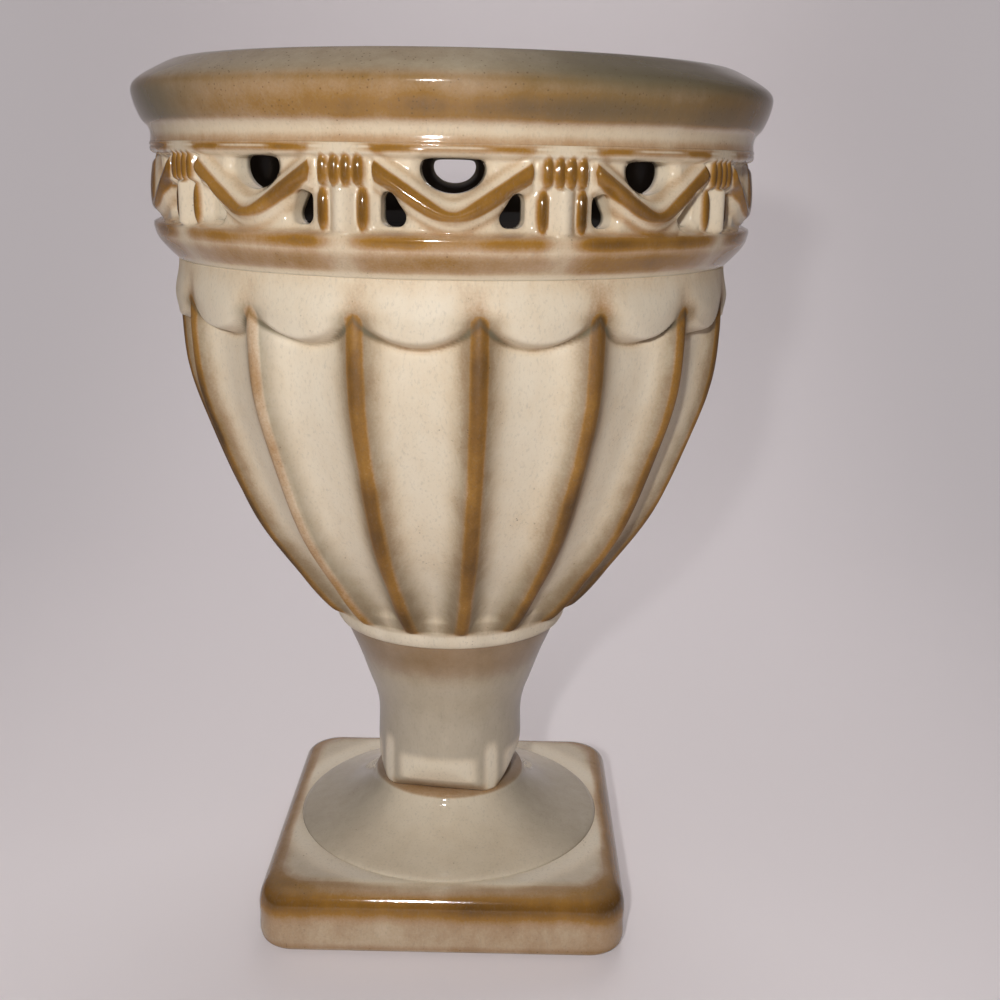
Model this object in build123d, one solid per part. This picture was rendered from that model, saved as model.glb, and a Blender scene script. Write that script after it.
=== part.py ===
"""Pedestal urn vase with a fluted bowl, a pierced gallery and a square plinth."""
import os
from math import asin, cos, pi, radians, sin, tan

from build123d import *

os.makedirs("parts", exist_ok=True)

# Heights of the stacked clay sections
PLINTH_HEIGHT = 14.8
FLARE_HEIGHT = 10.7
STEM_HEIGHT = 37.6
BOWL_HEIGHT = 77.9
GALLERY_HEIGHT = 22.0
RIM_HEIGHT = 15.0

# Joints between the sections
FIT = 0.3
REGISTER_WIDTH = 2.0
REGISTER_HEIGHT = 2.5
SPIGOT_LENGTH = 4.5
SPIGOT_WALL = 2.5

# Square plinth
PLINTH_SIDE = 77.0
PLINTH_CORNER = 7.0
PLINTH_TOP_ROUND = 5.0
PLINTH_FOOT_ROUND = 2.5
PLINTH_WALL = 7.0
PLINTH_ROOF = 6.5

# Foot flare
FLARE_RADIUS = 34.0
FLARE_TOP_RADIUS = 16.6
FLARE_EDGE = 1.0
FLARE_TOP_SLOPE = 62.0
FLARE_EDGE_SLOPE = 10.0

# Stem
STEM_BORE = 8.0
STEM_FOOT_RADIUS = 16.4
WAIST_RADIUS = 16.1
STEM_TOP_RADIUS = 23.5
STEM_FOOT_SIDE = 25.2
STEM_FOOT_CORNER = 3.2
STEM_FACE_SLOPE = 23.0
STEM_TURN = -8.0

# Fluted bowl
COLLAR_RADIUS = 24.9
COLLAR_HEIGHT = 3.0
BELLY_RADIUS = 56.0
BOWL_TOP_RADIUS = 55.7
BOWL_WALL = 5.5
BOWL_FLOOR = 6.0
BOWL_SPIGOT = 14.0
FLUTES = 16
FLUTE_PHASE = 7.3
FLUTE_DEPTH = 2.8
FLUTE_HEAD_DEPTH = 2.0
ARRIS_WIDTH = 2.4
TONGUE_LENGTH = 11.4
TONGUE_DROP = 6.0
TONGUE_ROLL = 35.0

# Pierced gallery
BAYS = 10
BAY_PHASE = 2.4
RAIL_RADIUS = 60.2
GROUND_SINK = 2.0
GALLERY_WALL = 7.2
BOTTOM_RAIL = 7.4
TOP_RAIL = 2.0
RAIL_EASE = 0.7
SWAG_WIDTH = 3.6
SWAG_BEND = 9.6
SWAG_EASE = 1.0
SHAFT_WIDTH = 4.6
REEDS = 4
REED_WIDTH = 2.1
CAPITAL_HEIGHT = 4.6
ARCH_WIDTH = 11.8
ARCH_DROP = 4.1
ARCH_SHOULDER = 1.6
LIGHT_START = 8.0
LIGHT_WIDTH = 4.7
LIGHT_HEIGHT = 5.8
LIGHT_ROUND = 1.6

# Rim lip
LIP_PROUD = 3.3
LIP_HEIGHT = 11.3
LIP_STEP = 1.3
MOUTH_FLAT = 4.0

# Levels of the joints
Z_FLARE = PLINTH_HEIGHT
Z_STEM = Z_FLARE + FLARE_HEIGHT
Z_BOWL = Z_STEM + STEM_HEIGHT
Z_GALLERY = Z_BOWL + BOWL_HEIGHT
Z_RIM = Z_GALLERY + GALLERY_HEIGHT
Z_TOP = Z_RIM + RIM_HEIGHT

SPIGOT_RADIUS = STEM_BORE + 2 * SPIGOT_WALL + 2 * FIT
GALLERY_BORE = RAIL_RADIUS - GALLERY_WALL
BOWL_TOP_BORE = BOWL_TOP_RADIUS - BOWL_WALL
LIP_RADIUS = RAIL_RADIUS + LIP_PROUD
LIP_BEVEL_RADIUS = GALLERY_BORE + MOUTH_FLAT


def turned(*curves):
    """Solid of revolution about Z from curves drawn as radius and height."""
    return revolve(Plane.XZ * make_face(Curve() + list(curves)), Axis.Z)


def ring(inner, outer, low, high):
    """Plain ring between two radii and two levels."""
    return Pos(0, 0, low) * extrude(Circle(outer) - Circle(inner), high - low)


def around(shape, count, phase):
    """Copies of a shape, evenly spaced about Z."""
    return [Rot(0, 0, phase + 360 * k / count) * shape for k in range(count)]


def radius_at(curve, level):
    """Radius of a rising profile curve at a level."""
    low, high = 0.0, 1.0
    for _ in range(40):
        middle = (low + high) / 2
        if curve.position_at(middle).Y < level:
            low = middle
        else:
            high = middle
    return curve.position_at(low).X


def square_plinth():
    block = extrude(RectangleRounded(PLINTH_SIDE, PLINTH_SIDE, PLINTH_CORNER), PLINTH_HEIGHT)
    block = fillet(block.edges().group_by(Axis.Z)[-1], PLINTH_TOP_ROUND)
    block = fillet(block.edges().group_by(Axis.Z)[0], PLINTH_FOOT_ROUND)
    inside = PLINTH_SIDE - 2 * PLINTH_WALL
    hollow = extrude(RectangleRounded(inside, inside, PLINTH_CORNER), PLINTH_HEIGHT - PLINTH_ROOF)
    socket = extrude(Circle(SPIGOT_RADIUS + FIT), PLINTH_HEIGHT)
    return block - hollow - socket


def foot_flare():
    shoulder = (FLARE_RADIUS - FLARE_EDGE, Z_FLARE + FLARE_EDGE)
    low, high = radians(FLARE_EDGE_SLOPE), radians(FLARE_TOP_SLOPE)
    sweep_up = Spline(
        shoulder,
        (FLARE_TOP_RADIUS, Z_STEM),
        tangents=[(-cos(low), sin(low)), (-cos(high), sin(high))],
    )
    roll = CenterArc((FLARE_RADIUS - FLARE_EDGE, Z_FLARE), FLARE_EDGE, 0, 90)
    socket = STEM_BORE + SPIGOT_WALL + FIT
    under = Polyline(
        (FLARE_TOP_RADIUS, Z_STEM),
        (socket, Z_STEM),
        (socket, Z_STEM - SPIGOT_LENGTH - FIT),
        (STEM_BORE, Z_STEM - SPIGOT_LENGTH - FIT),
        (STEM_BORE, Z_FLARE - SPIGOT_LENGTH),
        (SPIGOT_RADIUS, Z_FLARE - SPIGOT_LENGTH),
        (SPIGOT_RADIUS, Z_FLARE),
        (FLARE_RADIUS, Z_FLARE),
    )
    return turned(sweep_up, roll, under)


def stem_faces():
    """Square foot that widens upwards, so that it leaves four leaning faces on the round stem."""
    wide = STEM_FOOT_SIDE + 2 * STEM_HEIGHT * tan(radians(STEM_FACE_SLOPE))
    foot = RectangleRounded(STEM_FOOT_SIDE, STEM_FOOT_SIDE, STEM_FOOT_CORNER)
    head = RectangleRounded(wide, wide, 2 * STEM_FOOT_CORNER)
    return Rot(0, 0, STEM_TURN) * loft([Pos(0, 0, Z_STEM) * foot, Pos(0, 0, Z_BOWL) * head], ruled=True)


def stem():
    spigot = STEM_BORE + SPIGOT_WALL
    socket = BOWL_SPIGOT + FIT
    side = Spline(
        (STEM_FOOT_RADIUS, Z_STEM),
        (WAIST_RADIUS, Z_STEM + 0.40 * STEM_HEIGHT),
        (0.7 * WAIST_RADIUS + 0.3 * STEM_TOP_RADIUS, Z_STEM + 0.63 * STEM_HEIGHT),
        (STEM_TOP_RADIUS, Z_BOWL),
    )
    inside = Polyline(
        (STEM_TOP_RADIUS, Z_BOWL),
        (socket, Z_BOWL),
        (socket, Z_BOWL - SPIGOT_LENGTH - FIT),
        (STEM_BORE, Z_BOWL - SPIGOT_LENGTH - FIT - socket + STEM_BORE),
        (STEM_BORE, Z_STEM),
        (STEM_FOOT_RADIUS, Z_STEM),
    )
    shaft = turned(side, inside) & stem_faces()
    return shaft + ring(STEM_BORE, spigot, Z_STEM - SPIGOT_LENGTH, Z_STEM)


def bowl_profile():
    """Ridge line of the bowl from the collar to the gallery, as radius and height."""
    return Spline(
        (COLLAR_RADIUS + FLUTE_DEPTH, Z_BOWL + COLLAR_HEIGHT + 0.4 * FLUTE_DEPTH),
        (0.625 * BELLY_RADIUS, Z_BOWL + 0.165 * BOWL_HEIGHT),
        (0.795 * BELLY_RADIUS, Z_BOWL + 0.345 * BOWL_HEIGHT),
        (0.927 * BELLY_RADIUS, Z_BOWL + 0.576 * BOWL_HEIGHT),
        (BELLY_RADIUS, Z_BOWL + 0.833 * BOWL_HEIGHT),
        (BOWL_TOP_RADIUS, Z_GALLERY),
    )


def flute_section(level, radius, depth):
    """Hollow of one flute in a level plane, open to the outside."""
    half = pi / FLUTES - ARRIS_WIDTH / 2 / radius
    width = radius * sin(half)
    sag = depth - radius * (1 - cos(half))
    bend = (width**2 + sag**2) / (2 * sag)
    swing = min(1.2 * asin(min(1.0, width / bend)), radians(80))
    floor = radius - depth
    end_x = bend * sin(swing)
    end_y = floor + bend * (1 - cos(swing))
    outside = radius + 3 * depth
    hollow = ThreePointArc((-end_x, -end_y), (0, -floor), (end_x, -end_y))
    back = Polyline((end_x, -end_y), (end_x, -outside), (-end_x, -outside), (-end_x, -end_y))
    return Pos(0, 0, level) * make_face(Curve() + [hollow, back])


def flute():
    """Cutter for one flute, stopped at its head by a hanging tongue."""
    ridge = bowl_profile()
    low = Z_BOWL + COLLAR_HEIGHT
    tip = Z_GALLERY - TONGUE_LENGTH
    cusp = tip + TONGUE_DROP
    sections = [flute_section(low, COLLAR_RADIUS + FLUTE_DEPTH, FLUTE_DEPTH)]
    for share in (0.12, 0.3, 0.55, 0.8):
        level = low + share * (cusp - low)
        sections.append(flute_section(level, radius_at(ridge, level), FLUTE_DEPTH))
    level = cusp + 1.0
    sections.append(flute_section(level, radius_at(ridge, level), FLUTE_HEAD_DEPTH))
    cutter = loft(sections)
    half = BELLY_RADIUS * sin(pi / FLUTES)
    bend = (half**2 + TONGUE_DROP**2) / (2 * TONGUE_DROP)
    slope = tan(radians(TONGUE_ROLL))
    start = BELLY_RADIUS - FLUTE_HEAD_DEPTH
    reach = 2 * FLUTE_HEAD_DEPTH
    tongue = Cone(bend, bend - reach * slope, reach, align=(Align.CENTER, Align.CENTER, Align.MIN))
    inner = Cone(bend + reach * slope, bend, reach, align=(Align.CENTER, Align.CENTER, Align.MAX))
    mask = Pos(0, -start, tip + bend) * Rot(90, 0, 0) * (tongue + inner)
    return cutter - mask


def fluted_bowl():
    floor = Z_BOWL + COLLAR_HEIGHT + BOWL_FLOOR
    ridge = bowl_profile()
    foot = (COLLAR_RADIUS + FLUTE_DEPTH, Z_BOWL + COLLAR_HEIGHT + 0.4 * FLUTE_DEPTH)

    def wall_point(share, thick):
        level = Z_BOWL + share * BOWL_HEIGHT
        return (radius_at(ridge, level) - FLUTE_DEPTH - thick * BOWL_WALL, level)

    inner = Spline(
        (0.6 * COLLAR_RADIUS, floor),
        wall_point(0.23, 1.2),
        wall_point(0.45, 1.0),
        wall_point(0.72, 0.75),
        (BOWL_TOP_BORE, Z_GALLERY),
        tangents=[(1, 0.1), (0, 1)],
    )
    middle = (BOWL_TOP_BORE + BOWL_TOP_RADIUS) / 2
    edge = Polyline(
        (BOWL_TOP_BORE, Z_GALLERY),
        (middle - REGISTER_WIDTH / 2, Z_GALLERY),
        (middle - REGISTER_WIDTH / 2, Z_GALLERY + REGISTER_HEIGHT),
        (middle + REGISTER_WIDTH / 2, Z_GALLERY + REGISTER_HEIGHT),
        (middle + REGISTER_WIDTH / 2, Z_GALLERY),
        (BOWL_TOP_RADIUS, Z_GALLERY),
    )
    under = Polyline(
        foot,
        (COLLAR_RADIUS + 0.3, Z_BOWL + COLLAR_HEIGHT),
        (COLLAR_RADIUS, Z_BOWL),
        (BOWL_SPIGOT, Z_BOWL),
        (BOWL_SPIGOT, Z_BOWL - SPIGOT_LENGTH),
        (BOWL_SPIGOT - SPIGOT_WALL, Z_BOWL - SPIGOT_LENGTH),
        (BOWL_SPIGOT - SPIGOT_WALL, floor - BOWL_FLOOR),
        (0, floor - BOWL_FLOOR),
        (0, floor),
        (0.6 * COLLAR_RADIUS, floor),
    )
    cup = turned(ridge, edge, inner, under)
    return cup - around(flute(), FLUTES, FLUTE_PHASE + 180 / FLUTES)


def register(bore, outside):
    """Middle line of a register ring in the wall between two radii."""
    return (bore + outside) / 2


def gallery_ring(low, high, ground):
    """Turned ring of the gallery with its rails and the sunk ground between them."""
    top = register(GALLERY_BORE, RAIL_RADIUS)
    base = register(BOWL_TOP_BORE, BOWL_TOP_RADIUS)
    groove = REGISTER_WIDTH / 2 + FIT
    belly = ThreePointArc(
        (BOWL_TOP_RADIUS, Z_GALLERY),
        (0.38 * BOWL_TOP_RADIUS + 0.62 * RAIL_RADIUS, Z_GALLERY + 0.45 * BOTTOM_RAIL),
        (RAIL_RADIUS, low - RAIL_EASE),
    )
    rest = Polyline(
        (RAIL_RADIUS, low - RAIL_EASE),
        (RAIL_RADIUS - RAIL_EASE, low),
        (ground, low),
        (ground, high),
        (RAIL_RADIUS - RAIL_EASE, high),
        (RAIL_RADIUS, high + RAIL_EASE),
        (RAIL_RADIUS, Z_RIM),
        (top + REGISTER_WIDTH / 2, Z_RIM),
        (top + REGISTER_WIDTH / 2, Z_RIM + REGISTER_HEIGHT),
        (top - REGISTER_WIDTH / 2, Z_RIM + REGISTER_HEIGHT),
        (top - REGISTER_WIDTH / 2, Z_RIM),
        (GALLERY_BORE, Z_RIM),
        (GALLERY_BORE, low),
        (BOWL_TOP_BORE, Z_GALLERY),
        (base - groove, Z_GALLERY),
        (base - groove, Z_GALLERY + REGISTER_HEIGHT + FIT),
        (base + groove, Z_GALLERY + REGISTER_HEIGHT + FIT),
        (base + groove, Z_GALLERY),
        (BOWL_TOP_RADIUS, Z_GALLERY),
    )
    return turned(belly, rest)


def gallery_post(low, high, ground):
    """One post: half-round shaft between two side beads, under a reeded capital."""
    neck = high - CAPITAL_HEIGHT
    half = REEDS * REED_WIDTH / 2
    back = ground - GROUND_SINK
    reeds = []
    for k in range(REEDS):
        x = k * REED_WIDTH - half
        reeds += [(x, -ground - 0.4 * GROUND_SINK), (x + REED_WIDTH / 2, -RAIL_RADIUS)]
    reeds += [(half, -ground - 0.4 * GROUND_SINK), (half, -back), (-half, -back)]
    capital = extrude(make_face(Polyline(*reeds, close=True)), CAPITAL_HEIGHT)
    edge = SHAFT_WIDTH / 2
    bead = (half + edge) / 2
    proud = ground + 0.4 * REED_WIDTH
    front = CenterArc((0, -ground), edge, 180, 180)
    right = Polyline((edge, -ground), (bead, -proud), (half, -ground), (half, -back))
    left = Polyline((-edge, -ground), (-bead, -proud), (-half, -ground), (-half, -back))
    plan = make_face(Curve() + [front, right, left, Line((-half, -back), (half, -back))])
    shaft = extrude(plan, neck - low + GROUND_SINK)
    return Pos(0, 0, neck) * capital + Pos(0, 0, low - GROUND_SINK) * shaft


def gallery_swag(low, high, ground, tip, end):
    """One hanging swag: a raised bar with eased edges."""
    line = FilletPolyline((-end[0], end[1]), (0, tip), end, radius=SWAG_BEND)
    bar = extrude(Plane.XZ.offset(0.8 * ground) * trace(line, SWAG_WIDTH), ground)
    bar &= ring(ground - FIT, RAIL_RADIUS + 0.2, low, high + RAIL_EASE)
    return chamfer(bar.faces().sort_by(Axis.Y)[0].edges(), SWAG_EASE)


def gallery_windows(low, high):
    """The three cut openings of one bay: an arched one over the swag and two lights under it."""
    head = high - 0.2
    arch = Pos(0, head - ARCH_SHOULDER) * Ellipse(ARCH_WIDTH / 2, ARCH_DROP)
    openings = arch & (Pos(0, head - ARCH_WIDTH) * Rectangle(2 * ARCH_WIDTH, 2 * ARCH_WIDTH))
    sill = low + 1.2
    inner = LIGHT_START + LIGHT_ROUND
    outer = LIGHT_START + LIGHT_WIDTH - LIGHT_ROUND
    floor = sill + LIGHT_ROUND
    top = sill + LIGHT_HEIGHT - LIGHT_ROUND
    for side in (-1, 1):
        corners = ((side * outer, floor), (side * outer, top), (side * inner, floor))
        openings += offset(make_face(Polyline(*corners, close=True)), LIGHT_ROUND)
    return extrude(Plane.XZ.offset(0.7 * RAIL_RADIUS) * openings, 0.5 * RAIL_RADIUS)


def pierced_gallery():
    low = Z_GALLERY + BOTTOM_RAIL
    high = Z_RIM - TOP_RAIL
    ground = RAIL_RADIUS - GROUND_SINK
    tip = low + 1.1
    reach = pi / BAYS - REEDS * REED_WIDTH / 2 / RAIL_RADIUS
    end = (RAIL_RADIUS * sin(reach), high - 1.6)
    windows = gallery_windows(low, high)
    swag = gallery_swag(low, high, ground, tip, end)
    post = gallery_post(low, high, ground)
    shape = gallery_ring(low, high, ground) - around(windows, BAYS, BAY_PHASE)
    shape += around(swag, BAYS, BAY_PHASE)
    return shape + around(post, BAYS, BAY_PHASE + 180 / BAYS)


def rim_lip():
    low = Z_TOP - LIP_HEIGHT
    middle = register(GALLERY_BORE, RAIL_RADIUS)
    groove = REGISTER_WIDTH / 2 + FIT
    cove = ThreePointArc(
        (RAIL_RADIUS, Z_RIM),
        (RAIL_RADIUS - 0.2 * LIP_STEP, 0.5 * (Z_RIM + low)),
        (RAIL_RADIUS + LIP_STEP, low),
    )
    face = ThreePointArc(
        (RAIL_RADIUS + LIP_STEP, low),
        (LIP_RADIUS, low + 0.45 * LIP_HEIGHT),
        (LIP_RADIUS - 0.9, low + 0.68 * LIP_HEIGHT),
    )
    rest = Polyline(
        (LIP_RADIUS - 0.9, low + 0.68 * LIP_HEIGHT),
        (LIP_BEVEL_RADIUS, Z_TOP),
        (GALLERY_BORE, Z_TOP),
        (GALLERY_BORE, Z_RIM),
        (middle - groove, Z_RIM),
        (middle - groove, Z_RIM + REGISTER_HEIGHT + FIT),
        (middle + groove, Z_RIM + REGISTER_HEIGHT + FIT),
        (middle + groove, Z_RIM),
        (RAIL_RADIUS, Z_RIM),
    )
    lip = turned(cove, face, rest)
    return fillet(lip.faces().sort_by(Axis.Z)[-1].edges(), 0.4 * (LIP_BEVEL_RADIUS - GALLERY_BORE))


NODES = {
    "square_plinth": square_plinth,
    "foot_flare": foot_flare,
    "stem": stem,
    "fluted_bowl": fluted_bowl,
    "pierced_gallery": pierced_gallery,
    "rim_lip": rim_lip,
}

for node, make in NODES.items():
    shape = make()
    shape.label = node
    export_step(shape, "parts/" + node + ".step")
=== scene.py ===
"""Glazed pottery urn on a square plinth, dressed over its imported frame."""

from math import cos, pi, radians, sin

import bmesh
import bpy
import numpy as np
from bpy.props import FloatProperty, FloatVectorProperty, IntProperty, PointerProperty
from mathutils import Euler, Matrix, Vector


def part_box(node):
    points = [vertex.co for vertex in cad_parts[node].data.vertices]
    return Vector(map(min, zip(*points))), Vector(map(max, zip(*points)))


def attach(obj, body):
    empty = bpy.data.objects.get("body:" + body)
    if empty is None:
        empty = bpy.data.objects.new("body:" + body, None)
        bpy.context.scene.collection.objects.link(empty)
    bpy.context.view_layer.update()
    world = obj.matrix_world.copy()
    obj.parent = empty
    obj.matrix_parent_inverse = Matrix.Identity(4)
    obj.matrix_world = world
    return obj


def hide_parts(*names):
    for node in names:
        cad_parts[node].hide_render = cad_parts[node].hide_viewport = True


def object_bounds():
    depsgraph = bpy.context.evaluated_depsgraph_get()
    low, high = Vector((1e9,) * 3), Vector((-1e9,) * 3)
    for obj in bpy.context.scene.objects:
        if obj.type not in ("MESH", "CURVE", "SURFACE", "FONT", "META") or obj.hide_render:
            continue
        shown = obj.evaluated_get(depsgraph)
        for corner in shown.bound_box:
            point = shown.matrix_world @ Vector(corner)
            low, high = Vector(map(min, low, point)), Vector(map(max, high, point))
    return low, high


bl_info = {
    "name": "Glazed Urn Vase",
    "version": (1, 0, 0),
    "blender": (4, 5, 0),
    "location": "View3D > Sidebar > Urn",
    "description": "Models a glazed pottery urn with a pierced gallery over its packed frame",
    "category": "Object",
}

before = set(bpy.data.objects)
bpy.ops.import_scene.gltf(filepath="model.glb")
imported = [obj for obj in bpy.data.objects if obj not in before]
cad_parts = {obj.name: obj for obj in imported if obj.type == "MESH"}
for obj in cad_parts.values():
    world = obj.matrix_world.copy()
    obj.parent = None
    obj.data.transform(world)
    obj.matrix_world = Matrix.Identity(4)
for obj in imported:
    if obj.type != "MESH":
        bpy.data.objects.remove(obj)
CAD_BOX = [list(corner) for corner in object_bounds()]

MM = 0.001

# Levels of the joints between the clay sections and the radii they share, in millimetres
PLINTH_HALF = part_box("square_plinth")[1].x / MM
SPIGOT_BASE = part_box("foot_flare")[0].z / MM
PLINTH_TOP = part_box("square_plinth")[1].z / MM
STEM_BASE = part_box("foot_flare")[1].z / MM
BOWL_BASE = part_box("stem")[1].z / MM
COLLAR_TOP = 66.2
GALLERY_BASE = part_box("pierced_gallery")[0].z / MM
RAIL_BASE = 147.4
RIM_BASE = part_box("rim_lip")[0].z / MM
MOUTH_TOP = CAD_BOX[1][2] / MM
SPIGOT_RADIUS = 13.6
SPIGOT_ROOM = 0.3
STEM_BORE = 8.0
COLLAR_RADIUS = 25.5
BELLY_RADIUS = 56.0
BOWL_TOP_RADIUS = 55.7
BOWL_TOP_BORE = 50.2
RAIL_RADIUS = 60.2
BORE_RADIUS = 53.0

# Kinds of glaze kept on each piece, the olive and thin kinds holding some painted shade too, and the shades
# it breaks through from thick to thin
GLAZE_KINDS = ("thin", "crest", "olive", "specks", "lining", "bare")
GLAZE_BREAK = {0.001: "cream", 0.16: "warm", 0.34: "tan", 0.52: "amber", 0.74: "brown", 0.999: "dark"}


def tone(red, green, blue):
    """Linear colour with full alpha from a display colour of 0 to 255."""
    shares = [value / 255 for value in (red, green, blue)]
    return [s / 12.92 if s <= 0.04045 else ((s + 0.055) / 1.055) ** 2.4 for s in shares] + [1.0]


def length_prop(name, description, millimetres):
    size = millimetres * MM
    return FloatProperty(name=name, description=description, default=size, unit="LENGTH", precision=5)


def turn_prop(name, description, degrees):
    return FloatProperty(name=name, description=description, default=radians(degrees), unit="ROTATION")


def power_prop(name, description, watts):
    return FloatProperty(name=name, description=description, default=watts, unit="POWER")


def colour_prop(name, description, *display):
    return FloatVectorProperty(
        name=name, description=description, default=tone(*display), size=4, min=0, max=1, subtype="COLOR"
    )


def rough_prop(piece, value):
    name = piece + " roughness"
    return FloatProperty(name=name, description="Roughness of its fired glaze", default=value, min=0, max=1)


class UrnShape(bpy.types.PropertyGroup):
    """Sizes of the modelled relief."""

    flutes: IntProperty(name="Flutes", description="Hollows round the bowl", default=16, min=3)
    flute_turn: turn_prop("Flute turn", "Turn of one arris from the front", 7.3)
    flute_depth: length_prop("Flute depth", "Depth of a hollow below its arrises", 4.0)
    arris_round: length_prop("Arris round", "Softness of the arris between two hollows", 1.9)
    tongue_tip: length_prop("Tongue tip", "Distance of a tongue's tip below the gallery", 11.4)
    tongue_drop: length_prop("Tongue drop", "Rise of the tongue's edge from its tip to the arris", 6.0)
    tongue_roll: length_prop("Tongue roll", "Width of a tongue's rolled edge", 1.9)
    stem_turn: turn_prop("Stem turn", "Turn of the stem's square foot", -8.0)
    bays: IntProperty(name="Bays", description="Bays round the gallery", default=10, min=3)
    bay_turn: turn_prop("Bay turn", "Turn of one bay from the front", 2.4)
    ground_sink: length_prop("Ground sink", "Depth of the pierced ground below the rails", 2.0)
    swag_half: length_prop("Swag half width", "Half the width of a swag's round crest", 1.9)
    ledge_half: length_prop("Ledge half width", "Half the width of the ledge that carries a swag", 3.1)
    reed_pitch: length_prop("Reed pitch", "Distance between the reeds of a capital", 2.1)
    shaft_half: length_prop("Shaft half width", "Half the width of a post's shaft", 2.9)


class UrnGlaze(bpy.types.PropertyGroup):
    """Colours and surface of the glaze."""

    cream: colour_prop("Cream", "Thick pooled glaze", 233, 220, 197)
    warm: colour_prop("Warm cream", "Glaze that begins to thin", 222, 202, 172)
    tan: colour_prop("Tan", "Thinner glaze on raised bands", 190, 156, 119)
    amber: colour_prop("Amber", "Glaze broken thin over an edge", 162, 116, 46)
    brown: colour_prop("Brown", "Thinner still, near the crest of an edge", 129, 89, 31)
    dark: colour_prop("Dark brown", "Thinnest glaze, at the crest itself", 84, 57, 18)
    # Olive and ash are also the colours of painted shade: olive in the flutes and on the rim's sides, ash
    # on the sides of the flare and stem.
    olive: colour_prop("Olive", "Cool glaze on the mouth's bevel", 114, 104, 80)
    ash: colour_prop("Ash", "Cool glaze on the foot and the stem", 128, 121, 109)
    lining: colour_prop("Lining", "Dark glaze inside the urn", 44, 32, 23)
    bare: colour_prop("Bare clay", "Unglazed clay under the foot", 196, 170, 140)
    speck: colour_prop("Speck", "Pinholes in the glaze", 92, 68, 42)
    foot_rough: rough_prop("Foot", 0.07)
    stem_rough: rough_prop("Stem", 0.3)
    bowl_rough: rough_prop("Bowl", 0.58)
    gallery_rough: rough_prop("Gallery", 0.12)
    rim_rough: rough_prop("Rim", 0.1)


class UrnStage(bpy.types.PropertyGroup):
    """Camera, lamps and floor."""

    lens: FloatProperty(
        name="Lens", description="Focal length on a 36 mm sensor", default=46.0, unit="CAMERA"
    )
    camera_place: FloatVectorProperty(
        name="Camera place",
        description="Place of the camera in the room",
        default=(0.0122, -0.2712, 0.1602),
        subtype="TRANSLATION",
    )
    camera_heading: turn_prop("Heading", "Camera turn to the left", 0.34)
    camera_pitch: turn_prop("Pitch", "Camera tilt below the horizon", 14.79)
    camera_roll: turn_prop("Roll", "Camera roll", 1.0)
    key_power: power_prop("Key", "Power of the small lamp by the camera", 0.77)
    top_power: power_prop("Top", "Power of the broad soft lamp", 0.26)
    back_power: power_prop("Back", "Power of the soft lamp behind the urn", 1.0)
    fill: FloatProperty(name="Fill", description="Share of the backdrop that lights the urn", default=0.3)
    glow: FloatProperty(name="Glow", description="Even light of the sheet in the camera", default=0.34)
    floor: colour_prop("Floor", "Pale floor", 222, 215, 216)
    backdrop: colour_prop("Backdrop", "Background behind the floor", 177, 170, 172)


def smooth(value, low, high):
    """0 below low, 1 above high, with a soft start and end."""
    share = np.clip((value - low) / (high - low), 0.0, 1.0)
    return share * share * (3.0 - 2.0 * share)


def bead(offset, half):
    """Round-topped section, 1 at its middle and 0 at its half width."""
    return np.clip(1.0 - (offset / half) ** 2, 0.0, 1.0) ** 2


def spindle(offset, half, along, reach):
    """Round-topped section that runs out to a point at both ends."""
    return np.clip(1.0 - (offset / half) ** 2 - np.abs(along / reach) ** 3, 0.0, 1.0) ** 0.7


def bell(offset, width):
    return np.exp(-((offset / width) ** 2))


def blended(*heights):
    """Highest of several reliefs, with a soft join between them."""
    return sum(np.maximum(height, 0.0) ** 5 for height in heights) ** 0.2


def curve_through(points, spacing):
    """Radii and heights on a smooth curve through a few given ones."""
    points = [np.array(point, dtype=float) for point in points]
    knots = [2 * points[0] - points[1]] + points + [2 * points[-1] - points[-2]]
    line = []
    for a, b, c, d in zip(knots, knots[1:], knots[2:], knots[3:]):
        count = max(1, round(float(np.linalg.norm(c - b)) / spacing))
        for t in np.arange(count) / count:
            bend = (2 * a - 5 * b + 4 * c - d) * t**2 + (3 * b - a - 3 * c + d) * t**3
            line.append(tuple(0.5 * (2 * b + (c - a) * t + bend)))
    return line + [tuple(points[-1])]


def radius_of(line, heights):
    """Radii of a rising line at some heights."""
    radii, levels = np.array(line).T
    return np.interp(heights, levels, radii)


def thrown(name, outline, steps, turn=0.0):
    """Spin a closed outline of radii and heights about the urn's axis, from a turn off the front."""
    bpy.ops.object.select_all(action="DESELECT")
    bpy.ops.mesh.primitive_circle_add(vertices=len(outline), radius=RAIL_RADIUS * MM)
    piece = bpy.context.object
    piece.name = piece.data.name = name
    side, ahead = sin(radians(turn)) * MM, -cos(radians(turn)) * MM
    for vertex, (radius, height) in zip(piece.data.vertices, outline):
        vertex.co = (radius * side, radius * ahead, height * MM)
    bpy.ops.object.modifier_add(type="SCREW")
    wheel = piece.modifiers[-1]
    wheel.steps = wheel.render_steps = steps
    wheel.use_merge_vertices = True
    wheel.merge_threshold = 0.001 * MM
    bpy.ops.object.modifier_apply(modifier=wheel.name)
    bpy.ops.object.mode_set(mode="EDIT")
    bpy.ops.mesh.select_all(action="SELECT")
    bpy.ops.mesh.remove_doubles(threshold=0.01 * MM)
    bpy.ops.mesh.delete_loose(use_verts=True, use_edges=True, use_faces=False)
    bpy.ops.mesh.select_all(action="SELECT")
    bpy.ops.mesh.normals_make_consistent(inside=False)
    bpy.ops.mesh.select_all(action="DESELECT")
    bpy.ops.object.mode_set(mode="OBJECT")
    bpy.ops.object.shade_smooth()
    return piece


def wall(piece):
    """Radius and height in millimetres and turn from the front in degrees of every vertex."""
    places = np.empty(3 * len(piece.data.vertices))
    piece.data.vertices.foreach_get("co", places)
    x, y, z = places.reshape(-1, 3).T / MM
    return np.hypot(x, y), np.degrees(np.arctan2(x, -y)), z


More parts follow.
